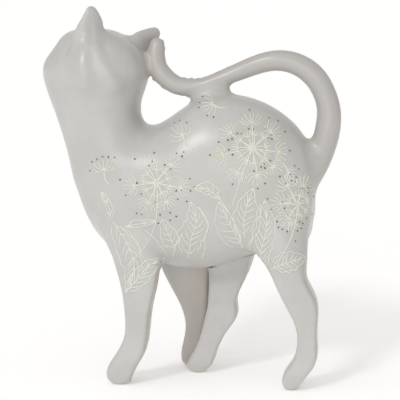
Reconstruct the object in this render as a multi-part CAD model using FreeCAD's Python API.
"""Ceramic cat figurine: a standing cat that turns its head away over its right shoulder while its tail
loops forward over the back, rests on a small pad and ends against the back of the head.

The figure is made the way slip-cast figures are: hollow trunk and head castings, and solid ears, legs and
tail, all stuck together with slip before firing. Every casting is a solid of its own, and neighbours
meet face to face at the stuck joints.

Frame: millimetres, +Z up, the trunk lies along X with the chest towards -X, and the cat's left side
faces -Y. The origin is at the bottom centre of the bounding box, on the plane that the paws stand on.
"""
import FreeCAD, Part
import math
import os

V = FreeCAD.Vector

# ---- driving dimensions ----
WALL = 4.5                # cast wall of the trunk and the head
VENT_DIAMETER = 6.0       # air vent in the belly, which lets the closed hollow be fired
VENT_X = 18.0
RING_POINTS = 16          # points on each cross-section outline
BODY_SQUARENESS = 2.15    # 2 is an ellipse, and more is fuller at the corners

# ---- head ----
HEAD_CENTRE = V(-65.0, 0.0, 204.0)
HEAD_TURN = 50.0          # degrees from straight ahead (-X) towards the cat's right (+Y)
HEAD_LIFT = 20.0          # degrees that the face looks up
HEAD_TILT = 18.0          # degrees that the crown leans towards the right ear
EAR_HEIGHT = {"left_ear": 22.0, "right_ear": 23.5}
EAR_BASE = (-3.5, 18.5, 25.0)  # forward, outward and up from the middle of the head
EAR_SHIFT = V(-2.0, 0.0, 0.0)  # both ears are set a little towards the cheek
EAR_SPLAY = {"left_ear": 0.40, "right_ear": 0.55}  # sideways part of an ear's direction, against 1 upwards
# Cross-sections of an ear, as a share of its height, half-width and half-thickness.
EAR_ROWS = [
    (-0.40, 17.0, 7.5),
    (0.0, 14.6, 5.6),
    (0.3, 11.8, 4.4),
    (0.6, 8.4, 3.6),
    (0.82, 5.6, 3.0),
    (0.95, 3.4, 2.1),
    (1.0, 1.8, 1.1),
]
EAR_HOLLOW_ROWS = [(0.02, 8.5, 2.0), (0.3, 7.6, 3.0), (0.6, 5.0, 2.4), (0.8, 2.5, 1.2)]
EAR_HOLLOW_AT = (5.8, 3.0)     # how far in front of the ear's middle the hollow's axis starts, and how far it nears
# Ellipsoids of the face: centre (forward, left, up) from the middle of the head, and the three half-lengths.
FACE = [
    ((26.5, 0.0, -7.0), (17.0, 14.5, 11.5)),   # muzzle
    ((27.0, 0.0, -15.0), (11.0, 8.5, 7.0)),    # chin
    ((43.0, 0.0, -3.0), (2.6, 3.8, 2.6)),      # nose
]

# ---- trunk and head ----
# Each row is a cross-section seen from the left side: the end on the back, (x, z), the end on the belly
# or throat, (x, z), and the half-width across. TRUNK runs from the rump to the neck joint.
TRUNK = [
    ((82.5, 127.0), (82.0, 114.0), 6.0),
    ((81.0, 139.0), (80.0, 104.0), 14.0),
    ((78.7, 158.0), (75.0, 93.0), 23.0),
    ((71.3, 170.5), (66.0, 84.5), 29.0),
    ((56.0, 183.5), (51.5, 80.5), 33.5),
    ((39.0, 191.0), (36.0, 78.5), 36.0),
    ((21.5, 193.5), (18.5, 76.5), 37.0),
    ((7.0, 191.5), (0.5, 75.5), 36.5),
    ((-5.0, 184.5), (-17.5, 76.0), 35.5),
    ((-15.5, 177.0), (-35.0, 79.5), 34.0),
    ((-24.0, 172.5), (-53.2, 89.0), 33.0),
    ((-31.0, 172.5), (-68.2, 107.0), 31.0),
    ((-35.0, 179.5), (-77.6, 129.0), 27.5),
    ((-35.0, 186.0), (-82.5, 146.0), 26.0),
]
# HEAD runs from the neck joint, which is TRUNK's last row, to the crown.
HEAD = [
    TRUNK[-1],
    ((-33.2, 191.5), (-86.5, 163.5), 25.5),
    ((-30.8, 198.0), (-92.6, 183.0), 28.0),
    ((-29.6, 205.0), (-97.6, 197.5), 31.5),
    ((-29.3, 212.0), (-99.4, 209.5), 33.0),
    ((-32.0, 220.0), (-96.2, 219.5), 31.5),
    ((-37.5, 226.5), (-90.5, 228.0), 27.0),
    ((-45.5, 231.5), (-83.5, 233.5), 20.0),
    ((-54.5, 235.0), (-73.5, 236.5), 9.0),
]
TRUNK_HOLLOW = slice(2, None)  # the rows that each cavity follows: it stays shut at the rump and the crown
HEAD_HOLLOW = slice(0, -2)

# ---- legs ----
# Each row is a level cross-section: height, front edge x, back edge x, middle y and half-width across.
LEGS = {
    "left_front_leg": [
        (126.0, -60.0, -24.0, -14.0, 12.0),
        (102.0, -58.0, -15.5, -19.0, 14.0),
        (90.0, -52.2, -14.0, -21.0, 13.5),
        (82.0, -48.8, -15.5, -22.0, 12.5),
        (66.0, -44.1, -19.4, -23.0, 10.5),
        (50.0, -42.0, -23.3, -23.0, 9.3),
        (33.0, -42.5, -25.2, -23.0, 9.0),
        (21.0, -48.5, -28.5, -23.0, 9.8),
        (12.5, -53.4, -33.2, -23.0, 10.5),
        (5.5, -53.2, -36.5, -23.0, 9.6),
        (2.0, -49.5, -39.5, -23.0, 6.5),
    ],
    "left_hind_leg": [
        (140.0, 28.0, 70.0, -14.0, 13.0),
        (110.0, 32.0, 80.5, -17.0, 16.0),
        (100.0, 37.0, 79.5, -18.5, 16.0),
        (84.0, 45.5, 79.0, -21.0, 14.0),
        (69.0, 56.8, 82.8, -22.5, 11.5),
        (58.0, 64.4, 87.2, -23.0, 10.0),
        (45.0, 70.7, 87.0, -23.0, 8.8),
        (29.0, 71.5, 87.3, -23.0, 8.6),
        (21.0, 69.0, 86.5, -23.0, 9.2),
        (12.5, 63.3, 81.4, -23.0, 10.0),
        (5.5, 63.0, 76.0, -23.0, 9.2),
        (2.0, 65.5, 73.0, -23.0, 6.0),
    ],
    "right_front_leg": [
        (126.0, -58.0, -18.0, 14.0, 12.0),
        (98.0, -40.0, 2.0, 19.5, 13.0),
        (83.0, -31.0, 9.0, 23.0, 12.0),
        (65.0, -21.2, 9.5, 26.0, 10.5),
        (48.0, -12.0, 8.0, 28.5, 9.0),
        (32.0, -7.8, 6.0, 30.0, 7.6),
        (15.0, -10.5, 4.0, 30.2, 7.4),
        (6.0, -10.5, 3.0, 30.2, 7.4),
        (2.0, -8.0, 1.0, 30.2, 5.0),
    ],
    "right_hind_leg": [
        (124.0, 20.0, 64.0, 14.0, 13.0),
        (110.0, 15.0, 60.0, 16.0, 13.5),
        (96.0, 10.5, 53.5, 17.3, 13.3),
        (82.0, 8.8, 44.0, 17.3, 12.2),
        (68.0, 9.8, 36.5, 16.5, 10.5),
        (52.0, 10.0, 28.6, 15.5, 9.0),
        (43.0, 8.2, 29.3, 15.0, 8.4),
        (34.0, 6.1, 24.3, 14.5, 7.8),
        (17.0, 0.0, 15.3, 14.5, 7.4),
        (6.0, -4.8, 10.2, 14.5, 7.6),
        (2.0, -2.5, 7.0, 14.5, 5.0),
    ],
}

# ---- tail ----
# Points on the tail's middle line from the root to the tip: x, y, z and radius.
TAIL = [
    (70.0, 0.0, 130.0, 12.0),
    (80.0, 0.0, 147.0, 10.5),
    (86.7, 0.0, 160.5, 9.0),
    (90.1, 0.0, 173.0, 8.3),
    (90.3, 0.0, 185.0, 7.7),
    (87.0, 0.0, 196.0, 7.4),
    (80.2, 0.0, 206.2, 7.4),
    (70.0, 0.0, 213.2, 7.1),
    (56.6, 0.0, 215.9, 6.8),
    (44.0, 0.0, 213.3, 6.4),
    (32.0, 0.0, 208.6, 5.9),
    (20.3, 0.0, 203.3, 5.9),
    (9.0, 0.0, 198.5, 6.0),
    (-1.0, 0.3, 197.0, 6.2),
    (-10.5, 0.8, 199.0, 6.0),
    (-18.3, 1.5, 204.3, 6.2),
    (-23.8, 2.5, 211.6, 6.4),
    (-24.8, 3.5, 219.2, 6.0),
    (-24.0, 4.0, 225.0, 4.9),
]
TAIL_ROUND_END = (35.0, 60.0, 80.0)  # angles of the rings that round off the tip
REST_ROWS = [(184.0, -1.0, 30.0, 8.0), (190.0, 0.0, 27.5, 6.0), (200.0, 1.0, 25.0, 4.0)]


def ring(centre, u, v, half_u, half_v, squareness=2.0):
    """A closed smooth outline about centre, half_u along u and half_v along v."""
    points = []
    for i in range(RING_POINTS):
        turn = 2 * math.pi * i / RING_POINTS
        c, s = math.cos(turn), math.sin(turn)
        along_u = math.copysign(abs(c) ** (2 / squareness), c) * half_u
        along_v = math.copysign(abs(s) ** (2 / squareness), s) * half_v
        points.append(centre + u * along_u + v * along_v)
    curve = Part.BSplineCurve()
    even = [i / RING_POINTS for i in range(RING_POINTS + 1)]
    curve.interpolate(Points=points, PeriodicFlag=True, Parameters=even)
    return Part.Wire([curve.toShape()])


def span(one_end, other_end, half_width, y=0.0, squareness=2.0, inset=0.0):
    """A ring seen edge-on from the side: it runs between two (x, z) points and half_width each way across."""
    a, b = V(one_end[0], y, one_end[1]), V(other_end[0], y, other_end[1])
    across = a - b
    half = across.Length / 2
    return ring((a + b) / 2, across / (2 * half), V(0, 1, 0), half - inset, half_width - inset, squareness)


def loft(rings):
    return Part.makeLoft(rings, True, False)


def unit(v):
    return v / v.Length


def head_axes():
    """The directions that the face looks, the cat's left ear points and the crown points."""
    turn, lift, tilt = (math.radians(a) for a in (HEAD_TURN, HEAD_LIFT, HEAD_TILT))
    forward = V(-math.cos(turn) * math.cos(lift), math.sin(turn) * math.cos(lift), math.sin(lift))
    left = unit(V(0, 0, 1).cross(forward))
    up = forward.cross(left)
    return forward, left * math.cos(tilt) + up * math.sin(tilt), up * math.cos(tilt) - left * math.sin(tilt)


FORWARD, LEFT, UP = head_axes()


def on_head(forward, left, up):
    """The point that lies so many millimetres forward, left and up of the middle of the head."""
    return HEAD_CENTRE + FORWARD * forward + LEFT * left + UP * up


def ellipsoid(centre, half_lengths):
    """An ellipsoid set square to the head."""
    f, s, u = FORWARD * half_lengths[0], LEFT * half_lengths[1], UP * half_lengths[2]
    place = FreeCAD.Matrix(f.x, s.x, u.x, centre.x, f.y, s.y, u.y, centre.y, f.z, s.z, u.z, centre.z, 0, 0, 0, 1)
    return Part.makeSphere(1.0).transformGeometry(place)


def casting(rows, hollow_rows):
    """The outside of a hollow casting, and the cavity that its wall leaves."""
    outside = loft([span(a, b, half, squareness=BODY_SQUARENESS) for a, b, half in rows])
    cavity = loft([span(a, b, half, squareness=BODY_SQUARENESS, inset=WALL) for a, b, half in rows[hollow_rows]])
    return outside, cavity


def add_face(head):
    """The muzzle, chin and nose, which are part of the head's mould."""
    return head.fuse([ellipsoid(on_head(*centre), half_lengths) for centre, half_lengths in FACE]).removeSplitter()


def ear_form(name, side):
    """An ear with a hollowed front. side is 1 for the left ear and -1 for the right one."""
    forward, outward, up = EAR_BASE
    base = on_head(forward, side * outward, up) + EAR_SHIFT
    height = EAR_HEIGHT[name]
    axis = unit(UP + LEFT * side * EAR_SPLAY[name])
    front = unit(FORWARD - axis * FORWARD.dot(axis))
    wide = axis.cross(front)
    outer = loft([ring(base + axis * h * height, wide, front, w, t) for h, w, t in EAR_ROWS])
    start, nearing = EAR_HOLLOW_AT
    scoop = loft([ring(base + axis * h * height + front * (start - nearing * h), wide, front, w, t)
                  for h, w, t in EAR_HOLLOW_ROWS])
    return outer.cut(scoop)


def leg_form(rows):
    return loft([span((front, z), (back, z), half, y=y, squareness=2.2) for z, front, back, y, half in rows])


def tail_form():
    points = [V(x, y, z) for x, y, z, r in TAIL]
    rings = []
    for i, centre in enumerate(points):
        along = unit(points[min(i + 1, len(points) - 1)] - points[max(i - 1, 0)])
        side = unit(V(0, 1, 0) - along * along.y)
        rings.append(ring(centre, along.cross(side), side, TAIL[i][3], TAIL[i][3]))
    tip, radius = points[-1], TAIL[-1][3]
    for angle in (math.radians(a) for a in TAIL_ROUND_END):
        r = radius * math.cos(angle)
        rings.append(ring(tip + along * radius * math.sin(angle), along.cross(side), side, r, r))
    return loft(rings)


def biggest(shape):
    """The largest solid of a cut, without the scraps that lie inside the neighbour."""
    return max(shape.Solids, key=lambda s: s.Volume)


def build():
    trunk, trunk_cavity = casting(TRUNK, TRUNK_HOLLOW)
    head, head_cavity = casting(HEAD, HEAD_HOLLOW)
    head = add_face(head)
    vent = Part.makeCylinder(VENT_DIAMETER / 2, 40.0, V(VENT_X, 0, 60.0))
    tail = tail_form()
    rest = loft([span((a, z), (b, z), half) for z, a, b, half in REST_ROWS])

    parts = {
        "trunk_shell": trunk.cut(trunk_cavity).cut(vent),
        "head_shell": head.cut(head_cavity),
        "left_ear": ear_form("left_ear", 1).cut(head),
        "right_ear": ear_form("right_ear", -1).cut(head).cut(tail),
        "tail": tail.cut(trunk).cut(head),
        "tail_rest": rest.cut(trunk).cut(tail),
    }
    for name, rows in LEGS.items():
        parts[name] = leg_form(rows).cut(trunk)
    return {name: biggest(shape) for name, shape in parts.items()}


def main():
    os.makedirs("parts", exist_ok=True)
    parts = build()
    box = Part.makeCompound(list(parts.values())).optimalBoundingBox()
    to_origin = V(-box.Center.x, -box.Center.y, -box.ZMin)
    for name, solid in parts.items():
        solid.translate(to_origin)
        solid.exportStep(f"parts/{name}.step")
        print(f"{name}: {solid.Volume / 1000:.1f} cm3, valid {solid.isValid()}, faces {len(solid.Faces)}")
    print(f"size {box.XLength:.1f} x {box.YLength:.1f} x {box.ZLength:.1f} mm, moved by {to_origin}")


main()
